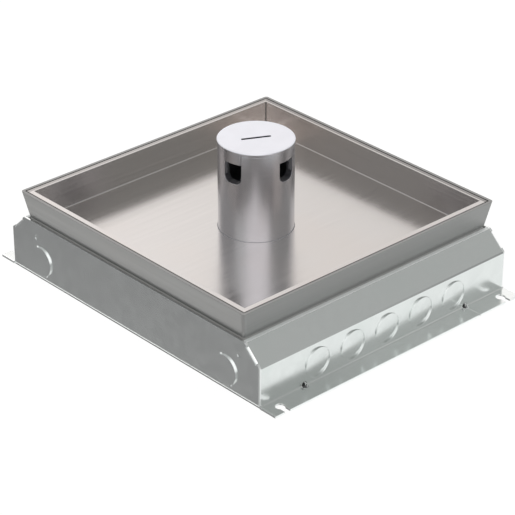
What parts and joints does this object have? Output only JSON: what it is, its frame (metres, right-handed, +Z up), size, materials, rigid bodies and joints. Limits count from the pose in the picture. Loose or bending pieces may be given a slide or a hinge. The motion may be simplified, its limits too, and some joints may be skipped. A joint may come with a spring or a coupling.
{
  "type": "floor socket box",
  "caption": "Square underfloor socket box with a recessed tile tray, a raised round cable-outlet tube with lid, and knock-outs.",
  "frame": {"origin": "centre of the box on the plane that it stands on", "axes": "+Z up; +Y across the two flanges; +X towards a flat end plate"},
  "size_m": [0.254, 0.316, 0.1191],
  "materials": {
    "galvanised_steel": "zinc coated, fine spangle, satin",
    "stainless_frame": "brushed stainless, satin",
    "stainless_tray": "fine brushed stainless",
    "stainless_tube": "turned stainless, satin",
    "stainless_lid": "fine blasted, pale",
    "zinc_fasteners": "zinc plated",
    "brass": "plain brass",
    "black_rubber": "matt",
    "black_plastic": "matt moulded",
    "white_plastic": "moulded, half gloss"
  },
  "bodies": {
    "housing": {"base_pan": "galvanised_steel", "side_sheet_front": "galvanised_steel", "side_sheet_rear": "galvanised_steel", "corner_welds": "galvanised_steel", "threaded_pillars": "zinc_fasteners", "earth_stud": "brass", "earth_nuts": "brass", "carrier_screws": "zinc_fasteners", "device_carrier_left": "galvanised_steel", "device_carrier_right": "galvanised_steel", "power_socket_left_1": "white_plastic", "power_socket_left_2": "white_plastic", "power_socket_right_1": "white_plastic", "power_socket_right_2": "white_plastic", "earth_clips_left": "brass", "earth_clips_right": "brass", "blanking_plate_left": "white_plastic", "blanking_plate_right": "white_plastic"},
    "frame": {"floor_frame": "stainless_frame", "support_ledge": "stainless_frame", "ledge_gasket": "black_rubber", "levelling_lugs": "stainless_frame"},
    "cassette": {"tray_pan": "stainless_tray", "tray_rim": "stainless_tray", "tube_wiper": "black_rubber", "guide_cage": "stainless_tray", "cage_studs": "zinc_fasteners", "cage_nuts": "zinc_fasteners"},
    "glide": {"glide_ring": "black_plastic"},
    "tube": {"outlet_tube": "stainless_tube", "tube_liner": "black_plastic"},
    "lid": {"tube_lid": "stainless_lid", "lid_gasket": "black_rubber"},
    "screw_1": {"levelling_screw_1": "zinc_fasteners"},
    "screw_2": {"levelling_screw_2": "zinc_fasteners"},
    "screw_3": {"levelling_screw_3": "zinc_fasteners"},
    "screw_4": {"levelling_screw_4": "zinc_fasteners"}
  },
  "joints": [
    {"name": "frame_level", "type": "slide", "parent": "housing", "child": "frame", "axis": [0, 0, 1], "range_m": [0, 0.015]},
    {"name": "cassette_lift", "type": "slide", "parent": "frame", "child": "cassette", "axis": [0, 0, 1], "range_m": [0, 0.075]},
    {"name": "tube_slide", "type": "slide", "parent": "cassette", "child": "glide", "axis": [0, 0, 1], "range_m": [-0.037, 0]},
    {"name": "tube_turn", "type": "hinge", "parent": "glide", "child": "tube", "pos_m": [0, 0, 0.042], "axis": [0, 0, 1], "continuous": true},
    {"name": "lid_lift", "type": "slide", "parent": "tube", "child": "lid", "axis": [0, 0, 1], "range_m": [0, 0.03]},
    {"name": "screw_turn_1", "type": "hinge", "parent": "frame", "child": "screw_1", "pos_m": [0.101, 0.098, 0.02], "axis": [0, 0, 1], "range_deg": [0, 4325]},
    {"name": "screw_turn_2", "type": "hinge", "parent": "frame", "child": "screw_2", "pos_m": [-0.101, 0.098, 0.02], "axis": [0, 0, 1], "range_deg": [0, 4325]},
    {"name": "screw_turn_3", "type": "hinge", "parent": "frame", "child": "screw_3", "pos_m": [-0.101, -0.098, 0.02], "axis": [0, 0, 1], "range_deg": [0, 4325]},
    {"name": "screw_turn_4", "type": "hinge", "parent": "frame", "child": "screw_4", "pos_m": [0.101, -0.098, 0.02], "axis": [0, 0, 1], "range_deg": [0, 4325]}
  ],
  "couplings": [
    {"joint": "screw_turn_1", "follows": "frame_level", "rad_per_m": 5026.5},
    {"joint": "screw_turn_2", "follows": "frame_level", "rad_per_m": 5026.5},
    {"joint": "screw_turn_3", "follows": "frame_level", "rad_per_m": 5026.5},
    {"joint": "screw_turn_4", "follows": "frame_level", "rad_per_m": 5026.5}
  ]
}
